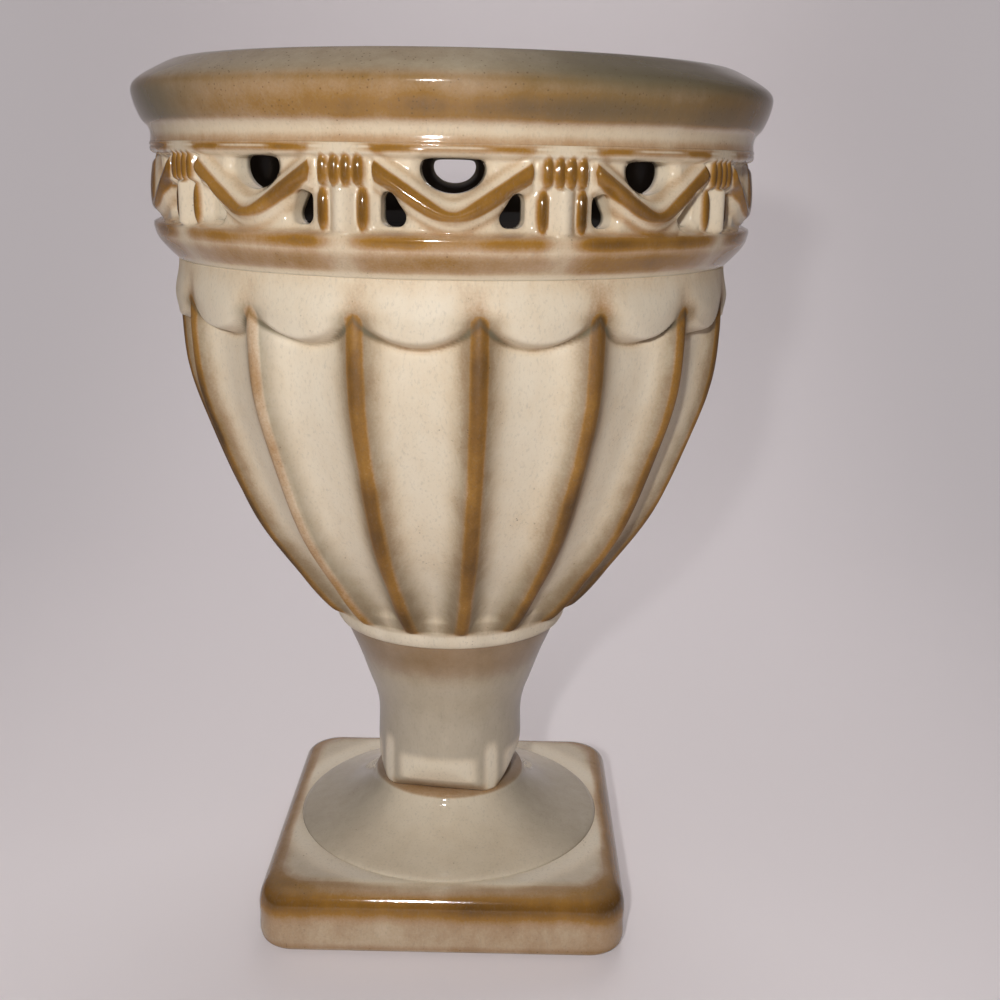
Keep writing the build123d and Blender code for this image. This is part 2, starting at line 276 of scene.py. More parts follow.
def set_wall(piece, radius, turn, height):
    turn = np.radians(turn)
    places = np.column_stack((radius * np.sin(turn), -radius * np.cos(turn), height)) * MM
    piece.data.vertices.foreach_set("co", places.ravel())
    piece.data.update()


def off_middle(turn, count, first):
    """Degrees from the nearest of several evenly spaced middles."""
    pitch = 360 / count
    return (turn - first + pitch / 2) % pitch - pitch / 2


def gathered(offset, half, pull):
    """Offsets drawn towards the ends of their stretch, so that the mesh is finer there."""
    share = offset / half
    return half * ((1 + pull) * share - pull * share**3)


def squared_reach(lean, half, corner):
    """Distance to the side of a rounded square, by the angle from the middle of a side."""
    flat = half / np.cos(lean)
    inner = half - corner
    along = inner * (np.cos(lean) + np.sin(lean))
    across = inner * (np.cos(lean) - np.sin(lean))
    rounded = along + np.sqrt(np.maximum(corner**2 - across**2, 0.0))
    return np.where(half * np.tan(lean) > inner, rounded, flat)


def paint(piece, **glaze):
    """Keep how thick or thin each kind of glaze lies, and the shade painted into it, vertex by vertex."""
    for kind in GLAZE_KINDS:
        amount = np.broadcast_to(glaze.get(kind, 0.0), len(piece.data.vertices))
        layer = piece.data.attributes.new(kind, "FLOAT", "POINT")
        layer.data.foreach_set("value", np.clip(amount, 0.0, 1.0).astype(np.float32))


def settle(piece, node, slot):
    """Tie a finished piece to the frame and give it its glaze."""
    piece.data.materials.append(glaze_of(slot))
    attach(piece, "root")
    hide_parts(node)


def add_node(tree, kind, sockets=None, **settings):
    """Shader node with its settings, and its sockets set or linked."""
    made = tree.nodes.new(kind)
    for name, value in settings.items():
        setattr(made, name, value)
    for name, value in (sockets or {}).items():
        if isinstance(value, bpy.types.NodeSocket):
            tree.links.new(value, made.inputs[name])
        else:
            made.inputs[name].default_value = value
    return made


def math_node(tree, operation, *values, clamp=False):
    return add_node(
        tree, "ShaderNodeMath", dict(enumerate(values)), operation=operation, use_clamp=clamp
    ).outputs[0]


def soft_step(tree, value, low, high):
    sockets = {"Value": value, "From Min": low, "From Max": high}
    return add_node(tree, "ShaderNodeMapRange", sockets, interpolation_type="SMOOTHSTEP").outputs[0]


def mixed(tree, share, first, second):
    sockets = {"Factor": share, 6: first, 7: second}
    return add_node(tree, "ShaderNodeMix", sockets, data_type="RGBA").outputs[2]


def noise(tree, coordinates, scale, detail=3.0):
    sockets = {"Vector": coordinates, "Scale": scale, "Detail": detail, "Roughness": 0.6}
    return add_node(tree, "ShaderNodeTexNoise", sockets).outputs[0]


def uneven(tree, amount, spread, *noises):
    """An amount made uneven by noises about a half."""
    for grain in noises:
        amount = math_node(tree, "MULTIPLY_ADD", math_node(tree, "SUBTRACT", grain, 0.5), spread, amount)
    return amount


def glaze_of(slot):
    """Cream glaze that breaks to amber and brown over edges, for one of the record's slots."""
    name = slot + "_fired"
    if name in bpy.data.materials:
        return bpy.data.materials[name]
    look = bpy.context.scene.urn_glaze
    material = bpy.data.materials.new(name)
    material.use_nodes = True
    tree = material.node_tree
    shader = tree.nodes["Principled BSDF"]
    place = add_node(tree, "ShaderNodeTexCoord").outputs["Object"]
    stretch = add_node(tree, "ShaderNodeMapping", {"Vector": place, "Scale": (1, 1, 0.5)}).outputs[0]
    patch = noise(tree, place, 34.0, 2.0)
    cloud = noise(tree, place, 95.0, 4.0)
    mottle = noise(tree, stretch, 330.0, 4.0)
    grain = noise(tree, place, 2300.0, 2.0)

    layers = {}
    for kind in GLAZE_KINDS:
        layers[kind] = add_node(tree, "ShaderNodeAttribute", attribute_name=kind).outputs["Fac"]
    swing = 1.9 if slot in ("bowl_glaze", "gallery_glaze") else 0.7
    strength = math_node(tree, "MULTIPLY_ADD", cloud, 0.6, 0.7 - swing / 2)
    strength = math_node(tree, "MULTIPLY_ADD", patch, swing, strength)
    crest = math_node(tree, "MULTIPLY", soft_step(tree, layers["crest"], 0.4, 0.6), 0.62)
    thin = math_node(tree, "MULTIPLY", math_node(tree, "MAXIMUM", layers["thin"], crest), strength)
    thin = uneven(tree, thin, 0.1 if slot == "bowl_glaze" else 0.05, cloud, mottle)
    middle = math_node(tree, "MULTIPLY", thin, math_node(tree, "SUBTRACT", 1.0, thin))
    ragged = uneven(tree, 0.0, 0.9 if slot == "bowl_glaze" else 0.5, mottle, grain)
    thin = math_node(tree, "MULTIPLY_ADD", middle, ragged, thin, clamp=True)
    ramp = add_node(tree, "ShaderNodeValToRGB", {"Fac": thin})
    for share, shade in GLAZE_BREAK.items():
        ramp.color_ramp.elements.new(share).color = getattr(look, shade)
    ramp.color_ramp.elements.remove(ramp.color_ramp.elements[0])
    ramp.color_ramp.elements.remove(ramp.color_ramp.elements[-1])

    # The olive layer carries cool glaze and also painted shade.
    olive = uneven(tree, layers["olive"], 0.1, cloud, mottle)
    cool = look.ash if slot in ("foot_glaze", "stem_glaze") else look.olive
    colour = mixed(tree, soft_step(tree, olive, 0.1, 1.0), ramp.outputs[0], tuple(cool))
    pitted = math_node(tree, "MULTIPLY", soft_step(tree, noise(tree, stretch, 2200.0, 3.0), 0.5, 0.76), 0.2)
    colour = mixed(tree, pitted, colour, tuple(look.ash))
    colour = mixed(tree, layers["lining"], colour, tuple(look.lining))
    colour = mixed(tree, layers["bare"], colour, tuple(look.bare))

    cell = add_node(tree, "ShaderNodeTexVoronoi", {"Vector": place, "Scale": 950.0})
    dot = math_node(tree, "SUBTRACT", 1.0, soft_step(tree, cell.outputs["Distance"], 0.08, 0.2))
    chosen = soft_step(tree, uneven(tree, layers["specks"], 1.0, cloud, mottle), 0.45, 0.75)
    speck = math_node(tree, "MULTIPLY", dot, math_node(tree, "MULTIPLY", chosen, 0.6))
    colour = mixed(tree, speck, colour, tuple(look.speck))
    tree.links.new(colour, shader.inputs["Base Color"])

    rough = uneven(tree, getattr(look, slot.replace("glaze", "rough")), 0.05, mottle, grain)
    rough = math_node(tree, "MULTIPLY_ADD", layers["bare"], 0.6, rough, clamp=True)
    tree.links.new(rough, shader.inputs["Roughness"])
    height = math_node(tree, "MULTIPLY_ADD", mottle, 0.7, math_node(tree, "MULTIPLY", grain, 0.25))
    height = math_node(tree, "SUBTRACT", height, math_node(tree, "MULTIPLY", speck, 0.5))
    bump = add_node(tree, "ShaderNodeBump", {"Strength": 0.35, "Distance": 0.12 * MM, "Height": height})
    tree.links.new(bump.outputs[0], shader.inputs["Normal"])
    shader.inputs["IOR"].default_value = 1.52
    shader.inputs["Coat Weight"].default_value = 0.0 if slot == "bowl_glaze" else 0.4
    shader.inputs["Coat Roughness"].default_value = 0.04
    return material


class URN_OT_plinth(bpy.types.Operator):
    """Square plinth with soft edges and an open hollow under it"""

    bl_idname = "urn.plinth"
    bl_label = "Square plinth"

    def execute(self, context):
        half, roof = PLINTH_HALF, 8.3
        edge = curve_through(
            [
                (half - 2.4, 0.0),
                (half - 0.6, 0.9),
                (half, 2.8),
                (half, 6.0),
                (half, 9.6),
                (half - 0.7, 12.2),
                (half - 2.4, 14.1),
                (half - 5.0, PLINTH_TOP),
            ],
            0.45,
        )
        top = [(radius, PLINTH_TOP) for radius in np.arange(half - 6.0, 14.2, -0.9)]
        socket = [(SPIGOT_RADIUS + SPIGOT_ROOM, level) for level in (PLINTH_TOP, 12.0, roof)]
        hollow = [(22.0, roof), (29.5, roof), (31.0, roof - 0.8), (31.5, roof - 2.5)]
        hollow = hollow + [(31.5, 3.0), (31.9, 0.6)]
        foot = [(32.6, 0.0), (half - 4.2, 0.0)]
        piece = thrown("square_plinth_glazed", edge + top + socket + hollow + foot, 384)
        radius, turn, height = wall(piece)
        base_radius = radius.copy()
        lean = np.radians(np.abs(off_middle(turn, 4, 0.0)))
        reach = squared_reach(lean, half, 7.0)
        shared = smooth(radius, 17.0, 30.0)
        radius = radius * (1 + shared * (reach / half - 1))
        set_wall(piece, radius, turn, height)

        out = half - base_radius
        upper = smooth(height, PLINTH_TOP - 3.0, PLINTH_TOP - 0.6)
        under = (base_radius < 32.2) & (height < PLINTH_TOP - 0.5)
        edge = bell(height - 11.4, 2.5) * (out < 4.5)
        corner = smooth(lean, radians(34), radians(45))
        aside = np.abs(np.sin(np.radians(turn)))
        ring = bell(radius - 36.4, 2.6) * upper * smooth(out, 2.5, 5.0)
        thin = (0.44 + 0.06 * corner) * edge + upper * aside * 0.36 * smooth(-out, -7.0, -2.5) * (1 - ring)
        thin = thin + (1 - upper) * (0.28 + 0.12 * bell(height - 1.8, 0.5)) + 0.06 * corner * (out < 5)
        thin = thin + 0.1 * upper * (1 - ring)
        olive = 0.42 * upper * (1 - ring) + 0.34 * (1 - upper) * (1 - edge)
        specks = 0.42 + 0.25 * bell(height - 1.8, 0.8) + 0.1 * ring
        bare = np.where(under, 1.0, 1.0 - smooth(height, 0.1, 0.7))
        paint(piece, thin=np.where(under, 0, thin), olive=olive, specks=specks, bare=bare)
        settle(piece, "square_plinth", "foot_glaze")
        return {"FINISHED"}


class URN_OT_flare(bpy.types.Operator):
    """Round flare that spreads from the stem to the plinth"""

    bl_idname = "urn.flare"
    bl_label = "Foot flare"

    def execute(self, context):
        sweep = curve_through(
            [
                (34.0, PLINTH_TOP),
                (33.5, 15.3),
                (32.2, 15.8),
                (28.6, 16.8),
                (24.2, 18.4),
                (20.3, 20.8),
                (17.8, 23.3),
                (17.0, 24.9),
                (16.5, STEM_BASE),
            ],
            0.4,
        )
        bore = [(STEM_BORE, level) for level in (STEM_BASE, 18.0, SPIGOT_BASE)]
        spigot = [(SPIGOT_RADIUS, SPIGOT_BASE), (SPIGOT_RADIUS, PLINTH_TOP)]
        piece = thrown("foot_flare_glazed", sweep + bore + spigot, 256)
        radius, turn, height = wall(piece)
        inside = (radius < 14.0) & (height < STEM_BASE - 0.2)
        thin = 0.08 + 0.34 * smooth(height, 24.9, 25.4)
        aside = np.abs(np.sin(np.radians(turn)))
        # More ash towards the left and right of the flare is painted shade on its sides.
        olive = 0.28 + 0.3 * smooth(aside, 0.5, 0.95)
        paint(piece, thin=thin, olive=olive, specks=0.36, bare=np.where(inside, 1.0, 0.0))
        settle(piece, "foot_flare", "foot_glaze")
        return {"FINISHED"}


class URN_OT_stem(bpy.types.Operator):
    """Turned stem that passes from round to square at its foot"""

    bl_idname = "urn.stem"
    bl_label = "Stem"

    def execute(self, context):
        side = curve_through(
            [
                (16.4, STEM_BASE),
                (16.3, 33.0),
                (16.1, 40.5),
                (16.8, 45.0),
                (18.3, 49.2),
                (20.5, 55.4),
                (22.6, 60.4),
                (23.5, BOWL_BASE),
            ],
            0.36,
        )
        bore = [(STEM_BORE, level) for level in (BOWL_BASE, 50.0, 38.0, STEM_BASE)]
        piece = thrown("stem_glazed", side + bore, 288)
        radius, turn, height = wall(piece)
        outside = smooth(radius, 11.0, 12.0)
        lean = np.radians(np.abs(off_middle(turn, 4, np.degrees(context.scene.urn_shape.stem_turn))))
        rise = height - STEM_BASE
        faces = squared_reach(lean, 12.6 + 0.42 * rise + 0.9 * (1 - np.exp(-rise / 2.0)), 3.2)
        proud = np.where(outside > 0, radius - faces, -9.0)
        pared = 0.5 * (proud + np.sqrt(proud**2 + 0.5)) * outside
        set_wall(piece, radius - pared, turn, height)

        face = 1 - smooth(lean, radians(24), radians(36))
        face = face * smooth(height, 27.4, 28.8) * (1 - smooth(height, 32.0, 35.0))
        edge = smooth(lean, radians(36), radians(44)) * (1 - smooth(height, 34.0, 38.0))
        pooled = np.maximum(face, edge)
        thin = 0.1 + 0.34 * smooth(height, 50.5, 58.5) - 0.1 * pooled
        # A browner band at the foot of the stem is partly glaze and partly painted shade where it meets the
        # flare.
        thin = thin + 0.3 * (1 - smooth(height, 26.2, 28.0)) * (1 - edge)
        # Slightly more olive towards the left and right of the stem is painted shade on its sides.
        olive = (0.5 + 0.1 * np.abs(np.sin(np.radians(turn)))) * (1 - pooled)
        paint(piece, thin=thin * outside, olive=olive * outside, specks=0.36, bare=1 - outside)
        settle(piece, "stem", "stem_glaze")
        return {"FINISHED"}


class URN_OT_bowl(bpy.types.Operator):
    """Bowl hollowed by flutes under a row of hanging tongues"""

    bl_idname = "urn.bowl"
    bl_label = "Fluted bowl"

    def execute(self, context):
        shape = context.scene.urn_shape
        count, first = shape.flutes, np.degrees(shape.flute_turn)
        collar, ridge, outline = self.section()
        piece = thrown("fluted_bowl_glazed", outline, 30 * count, first)
        radius, turn, height = wall(piece)
        pitch = 180 / count
        offset = off_middle(turn, count, first + pitch)
        drawn = gathered(offset, pitch, 0.3)
        turn = turn - offset + drawn
        line = radius_of(collar + ridge, height)
        outside = radius > line - 2.0
        hollow, below = self.flutes_and_tongues(shape, np.abs(drawn), line, height)
        moved = self.carved(shape, radius, line, height, hollow, below)
        set_wall(piece, np.where(outside, moved, radius), turn, height)
        self.paint_glaze(piece, shape, turn, line, height, outside, hollow, below)
        settle(piece, "fluted_bowl", "bowl_glaze")
        return {"FINISHED"}

    def section(self):
        """Lines of the collar and of the arrises, and the whole closed outline."""
        swell = [(24.6, BOWL_BASE), (25.2, 64.2), (25.4, 65.3), (COLLAR_RADIUS, COLLAR_TOP)]
        collar = curve_through(swell, 0.5)
        ridge = curve_through(
            [
                (26.3, 66.5),
                (28.3, 67.7),
                (31.3, 71.0),
                (35.0, 76.0),
                (44.5, 90.0),
                (51.9, 108.0),
                (55.1, 118.5),
                (BELLY_RADIUS, 128.0),
                (55.9, 134.5),
                (BOWL_TOP_RADIUS, GALLERY_BASE),
            ],
            0.2,
        )
        foot_levels, tongue_levels = np.arange(66.5, 70, 0.4), np.arange(126, 141.2, 0.42)
        levels = np.concatenate((foot_levels, np.arange(70, 126, 0.95), tongue_levels))
        levels[-1] = GALLERY_BASE
        outer = collar + list(zip(radius_of(ridge, levels), levels))
        inner = curve_through(
            [
                (BOWL_TOP_BORE, GALLERY_BASE),
                (48.6, 121.0),
                (41.0, 99.0),
                (30.0, 81.5),
                (23.0, 75.0),
                (14.0, 72.3),
            ],
            2.0,
        )
        middle = [(7.0, 72.1), (0.0, 72.1), (0.0, BOWL_BASE), (12.0, BOWL_BASE)]
        return collar, ridge, outer + [(BORE_RADIUS, GALLERY_BASE)] + inner + middle

    def flutes_and_tongues(self, shape, offset, line, height):
        """Depth share of the flute, and distance below the edge of the tongue over it."""
        pitch = 180 / shape.flutes
        soft = shape.arris_round / MM
        width = line * radians(pitch)
        off_ridge = line * np.radians(pitch - offset)
        off_flute = line * np.radians(offset)
        eased = np.sqrt(off_ridge**2 + soft**2) - soft
        hollow = 1 - np.clip(1 - eased / (np.sqrt(width**2 + soft**2) - soft), 0, 1) ** 2.9
        head = GALLERY_BASE - shape.tongue_tip / MM
        drop = shape.tongue_drop / MM
        chord = BELLY_RADIUS * sin(pi / shape.flutes)
        bend = (chord**2 + drop**2) / (2 * drop)
        below = np.hypot(off_flute, height - head - bend) - bend
        return hollow, np.where(height > head + bend, -bend, below)

    def carved(self, shape, radius, line, height, hollow, below):
        """Radius of the wall with its flutes cut and its tongues raised."""
        head = GALLERY_BASE - shape.tongue_tip / MM
        roll = shape.tongue_roll / MM
        under_tongue = smooth(below, -0.45 * roll, 0.55 * roll)
        floor_line = COLLAR_RADIUS + 0.54 * (height - COLLAR_TOP - 0.1)
        room = np.maximum(line - floor_line, 0) + 10 * smooth(height, 69.5, 74.0)
        cut = np.minimum(shape.flute_depth / MM * hollow * under_tongue, room * hollow**0.3)
        cut = cut * smooth(height, 66.0, 67.0)
        pillow = 0.8 * smooth(-below, 0.0, 5.0) * (1 - smooth(height, head + 4.5, GALLERY_BASE - 0.5))
        crease = 0.55 * bell(below - 0.6 * roll, 0.6) * hollow
        return radius - cut + pillow - crease

    def paint_glaze(self, piece, shape, turn, line, height, outside, hollow, below):
        first = np.degrees(shape.flute_turn)
        head = GALLERY_BASE - shape.tongue_tip / MM
        cusp = head + shape.tongue_drop / MM
        past = np.radians(off_middle(turn, shape.flutes, first)) * line
        tip = np.maximum(height - cusp + 2.2, 0.0)
        along = smooth(height, COLLAR_TOP, 67.4)
        crest = 1.0 - smooth(np.hypot(past, tip), 0.6 + 0.008 * (height - 66), 1.9)
        halo = bell(past, 3.6) * bell(tip, 2.5)
        # Olive grey either side of each arris is painted shade in the hollows of the flutes.
        flute_shade = bell(past, 4.6) * bell(tip, 2.5) * (1 - crest)
        worn = 1 - 0.5 * bell(off_middle(turn, 1, first - 45.0), 8.0)
        web = bell(past, 3.2) * smooth(height, cusp - 3, cusp + 1)
        web = web * (1 - smooth(height, cusp + 2, cusp + 6))
        # A darker line along the rolled edge of each tongue is a painted shadow in the crease under it.
        crease_shadow = bell(below - 0.5 * shape.tongue_roll / MM, 0.5) * (height > head - 2)
        thin = (0.36 * crest + 0.36 * halo) * along * worn
        thin = thin + 0.16 * web + 0.24 * crease_shadow + 0.1 * smooth(height, GALLERY_BASE - 4.0, GALLERY_BASE)
        thin = thin + 0.05 + 0.08 * (1 - smooth(height, 66, 80)) - 0.1 * (1 - smooth(height, 65.5, 66.5))
        olive = 0.25 * (1 - smooth(height, 70, 95)) * hollow + 0.45 * crease_shadow + 0.68 * flute_shade * along
        specks = 0.4 + 0.12 * crease_shadow + 0.08 * halo
        lining = np.where(outside | (height < BOWL_BASE + 3.2), 0.0, 1.0)
        paint(piece, thin=thin, lining=lining, olive=olive, specks=specks)


class GalleryBay:
    """Measures of one bay of the gallery, with places as the arc from its middle and the height."""

    low = 148.4
    high = 161.0
    fine_lines = (161.9, 162.75)
    arm_end = 14.0
    swag_tip = 149.5
    swag_round = 2.95
    rise = 0.68
    arch_half = 5.9
    arch_drop = 4.1
    arch_middle = 159.2
    arch_head = 160.8
    light_round = 1.6
    light = ((11.1, 151.2), (11.1, 153.8), (9.6, 151.2))

    @classmethod
    def on_arm(cls, arc):
        """1 along the arms of a swag and 0 past their ends."""
        return smooth(cls.arm_end - np.abs(arc), 0.0, 1.0)

    @classmethod
    def beading(cls, height, half):
        """Two fine beads under the lip."""
        return sum(bead(height - level, half) for level in cls.fine_lines)

    @classmethod
    def swag_gap(cls, arc, height):
        """Signed distance from the middle line of the swag."""
        reach = np.sqrt(arc**2 + cls.swag_round**2)
        slope = cls.rise * arc / reach
        return (height - cls.swag_tip - cls.rise * reach) / np.sqrt(1 + slope**2)

    @classmethod
    def window_gap(cls, arc, height):
        """Distance outside the nearest window, negative within it."""
        away = np.hypot(arc, height - cls.arch_middle)
        scaled = np.hypot(arc / cls.arch_half, (height - cls.arch_middle) / cls.arch_drop)
        round_part = away * (1 - 1 / np.maximum(scaled, 0.01))
        flat_part = height - cls.arch_head
        arch = 0.5 * (round_part + flat_part + np.sqrt((round_part - flat_part) ** 2 + 0.7))
        nearest = np.full(np.shape(arc), np.inf)
        inside = np.full(np.shape(arc), True)
        for (x0, z0), (x1, z1) in zip(cls.light, cls.light[1:] + cls.light[:1]):
            along_x, along_z = x1 - x0, z1 - z0
            x, z = np.abs(arc) - x0, height - z0
            share = np.clip((x * along_x + z * along_z) / (along_x**2 + along_z**2), 0, 1)
            nearest = np.minimum(nearest, np.hypot(x - share * along_x, z - share * along_z))
            inside &= along_x * z - along_z * x >= 0
        return np.minimum(arch, np.where(inside, -nearest, nearest) - cls.light_round)


class URN_OT_gallery(bpy.types.Operator):
    """Pierced gallery of swags between reeded posts"""

    bl_idname = "urn.gallery"
    bl_label = "Pierced gallery"

    def execute(self, context):
        shape = context.scene.urn_shape
        bay = GalleryBay
        swell = [(BOWL_TOP_RADIUS, GALLERY_BASE), (57.7, 143.0), (59.5, 145.2), (RAIL_RADIUS, RAIL_BASE)]
        belly = curve_through(swell, 0.6)
        levels = np.linspace(RAIL_BASE, RIM_BASE, 48)
        window_levels = levels[(levels > bay.low) & (levels < bay.high + 0.3)]
        outer = belly + [(RAIL_RADIUS, level) for level in levels[1:]]
        top = [(58.0, RIM_BASE), (55.5, RIM_BASE), (BORE_RADIUS, RIM_BASE)]
        inner = [(BORE_RADIUS, level) for level in window_levels[::-1]]
        bottom = [(BORE_RADIUS, bay.low), (51.7, 144.8)]
        bottom = bottom + [(BOWL_TOP_BORE, GALLERY_BASE), (BORE_RADIUS, GALLERY_BASE)]
        first = np.degrees(shape.bay_turn)
        piece = thrown("pierced_gallery_glazed", outer + top + inner + bottom, 84 * shape.bays, first)
        radius, turn, height = wall(piece)
        offset = off_middle(turn, shape.bays, first)
        set_wall(piece, radius, turn - offset + gathered(offset, 180 / shape.bays, 0.3), height)
        self.cut_windows(piece, shape.bays, first)
        self.raise_relief(piece, shape, first)
        self.close_windows(piece, shape.bays, first)
        self.paint_glaze(piece, shape, first)
        settle(piece, "pierced_gallery", "gallery_glaze")
        return {"FINISHED"}

    def cut_windows(self, piece, bays, first):
        """Take the faces out of the windows and draw the open edges onto their outlines."""
        mesh = piece.data
        middles = np.empty(3 * len(mesh.polygons))
        mesh.polygons.foreach_get("center", middles)
        x, y, z = middles.reshape(-1, 3).T / MM
        arc = np.radians(off_middle(np.degrees(np.arctan2(x, -y)), bays, first)) * RAIL_RADIUS
        gone = (GalleryBay.window_gap(arc, z) < 0) & (z < RIM_BASE - 0.1)
        bpy.context.tool_settings.mesh_select_mode = (False, False, True)
        mesh.polygons.foreach_set("select", gone)
        bpy.ops.object.mode_set(mode="EDIT")
        bpy.ops.mesh.delete(type="FACE")
        bpy.ops.object.mode_set(mode="OBJECT")
        edge = np.unique(self.open_edges(mesh))
        radius, turn, height = wall(piece)
        offset = off_middle(turn[edge], bays, first)
        arc, level = np.radians(offset) * RAIL_RADIUS, height[edge]
        for _ in range(3):
            gap = GalleryBay.window_gap(arc, level)
            slide = (GalleryBay.window_gap(arc + 0.01, level) - gap) / 0.01
            lift = (GalleryBay.window_gap(arc, level + 0.01) - gap) / 0.01
            steep = np.maximum(slide**2 + lift**2, 0.25)
            arc, level = arc - gap * slide / steep, level - gap * lift / steep
        turn[edge] += np.degrees(arc / RAIL_RADIUS) - offset
        height[edge] = level
        set_wall(piece, radius, turn, height)

    def reliefs(self, shape, turn, height, first):
        """Relief of the rails, swags, posts, reeds and side beads at some places."""
        bay = GalleryBay
        arc = np.radians(off_middle(turn, shape.bays, first)) * RAIL_RADIUS
        post = np.radians(off_middle(turn, shape.bays, first + 180 / shape.bays)) * RAIL_RADIUS
        gap = bay.swag_gap(arc, height)
        on_arm = bay.on_arm(arc)
        crest = bead(gap, shape.swag_half / MM) ** 0.75 * on_arm
        ledge = smooth(shape.ledge_half / MM - np.abs(gap), 0.0, 1.2) * on_arm
        neck = bay.high - 4.9
        block = smooth(5.0 - np.abs(post), 0.0, 0.9) * smooth(height, neck - 0.4, neck + 0.6)
        pitch = shape.reed_pitch / MM
        reeds = sum(spindle(post - pitch * (k - 1.5), 0.56 * pitch, height - 158.6, 2.9) for k in range(4))
        shaft = bead(post, shape.shaft_half / MM) ** 0.8 * (1 - smooth(height, neck - 0.2, neck + 0.8))
        shaft = shaft * smooth(height, bay.low - 0.8, bay.low + 0.6)
        strips = spindle(np.abs(post) - 3.6, 1.25, height - 152.4, 4.0)
        return arc, post, crest, ledge, block, reeds, shaft, strips

    def raise_relief(self, piece, shape, first):
        radius, turn, height = wall(piece)
        bay = GalleryBay
        arc, post, crest, ledge, block, reeds, shaft, strips = self.reliefs(shape, turn, height, first)
        sink = shape.ground_sink / MM
        lower_rail = 1 - smooth(height, bay.low - 0.5, bay.low + 0.7)
        rails = sink * np.maximum(lower_rail, smooth(height, 160.3, 161.3))
        swag, capital = 0.95 * ledge + 1.35 * crest, 1.0 * block + 1.1 * reeds
        relief = blended(rails, swag, capital, 2.3 * shaft, 1.2 * strips)
        relief = relief + 0.22 * bay.beading(height, 0.42) * (1 - bell(post, 5.0))
        gap = bay.window_gap(arc, height)
        eased = 0.9 * (1 - smooth(gap, 0.0, 1.3))
        front = radius > 55.6
        seat = (height > RIM_BASE - 0.01) & (radius < RAIL_RADIUS - 0.5)
        raised = front & ~seat & (height > GALLERY_BASE + 0.1)
        moved = np.where(raised, radius - sink + relief - eased, radius)
        back = (radius < BORE_RADIUS + 0.1) & (height > bay.low)
        moved = np.where(back, moved + 0.5 * eased, moved)
        set_wall(piece, moved, turn, height)

    def close_windows(self, piece, bays, first):
        """Bridge each window from the front of the wall to the back."""
        bpy.ops.object.mode_set(mode="EDIT")
        bpy.ops.mesh.select_mode(type="EDGE")
        work = bmesh.from_edit_mesh(piece.data)
        work.edges.index_update()
        windows = {}
        for edge in work.edges:
            if edge.is_boundary:
                place = (edge.verts[0].co + edge.verts[1].co) / 2
                turn = np.degrees(np.arctan2(place.x, -place.y)) - first
                arc = np.radians(off_middle(turn, bays, 0.0)) * RAIL_RADIUS
                window = (round(turn * bays / 360) % bays, round(arc / (2 * GalleryBay.arch_half)))
                windows.setdefault(window, []).append(edge.index)
        for edges in windows.values():
            bpy.ops.mesh.select_all(action="DESELECT")
            work = bmesh.from_edit_mesh(piece.data)
            work.edges.ensure_lookup_table()
            for index in edges:
                work.edges[index].select_set(True)
            bpy.ops.mesh.bridge_edge_loops(number_cuts=3, interpolation="LINEAR")
        bpy.ops.mesh.select_all(action="SELECT")
        bpy.ops.mesh.normals_make_consistent(inside=False)
        bpy.ops.mesh.select_all(action="DESELECT")
        bpy.ops.object.mode_set(mode="OBJECT")
        bpy.ops.object.shade_smooth()
        if len(self.open_edges(piece.data)):
            raise RuntimeError("a window of the gallery was not closed")

    def open_edges(self, mesh):
        """Ends of the edges that have one face."""
        ends = np.empty(2 * len(mesh.edges), dtype=int)
        mesh.edges.foreach_get("vertices", ends)
        sides = np.empty(len(mesh.loops), dtype=int)
        mesh.loops.foreach_get("edge_index", sides)
        return ends.reshape(-1, 2)[np.bincount(sides, minlength=len(mesh.edges)) == 1]

    def paint_glaze(self, piece, shape, first):
        radius, turn, height = wall(piece)
        bay = GalleryBay
        arc, post, crest, _, block, reeds, _, strips = self.reliefs(shape, turn, height, first)
        reach = np.abs(arc)
        front = smooth(radius, 56.0, 57.2)
        at_post = bell(post, 3.4)
        rail = bell(height - 147.2, 1.5)
        band = (1 - smooth(height, 144.0, RAIL_BASE)) * smooth(height, GALLERY_BASE - 1.5, 143.5)
        fine = bay.beading(height, 0.5)
        streak = bead(height - 162.2, 1.1) * smooth(reach, 3.0, 8.0) * (1 - smooth(reach, 11.5, 15.0))
        gap = np.abs(bay.swag_gap(arc, height))
        on_swag = bay.on_arm(arc) * (1 - block)
        mark = np.clip(0.5 + (1.4 - gap) / 4.0, 0.0, 1.0) * on_swag * (1 - 0.2 * bell(arc, 3.2))
        thin = 0.3 * crest * (1 - block)
        thin = np.maximum(thin, 0.68 * reeds)
        thin = np.maximum(thin, 0.84 * strips)
        thin = np.maximum(thin, (0.4 + 0.16 * smooth(reach, 2.0, 8.0)) * rail * (1 - 0.8 * at_post))
        thin = np.maximum(thin, 0.5 * np.maximum(streak, 0.7 * fine) * (1 - bell(post, 5.0)))
        thin = np.maximum(thin, 0.37 * band * (1 - 0.5 * at_post))
        thin = thin + 0.16 * bell(gap - 2.8, 0.6) * on_swag + 0.09
        lining = 1 - smooth(radius, 52.9, 53.9)
        thin, mark = thin * (0.2 + 0.8 * front), mark * front
        paint(piece, thin=thin, crest=mark, olive=0.3 * band, specks=0.42, lining=lining)


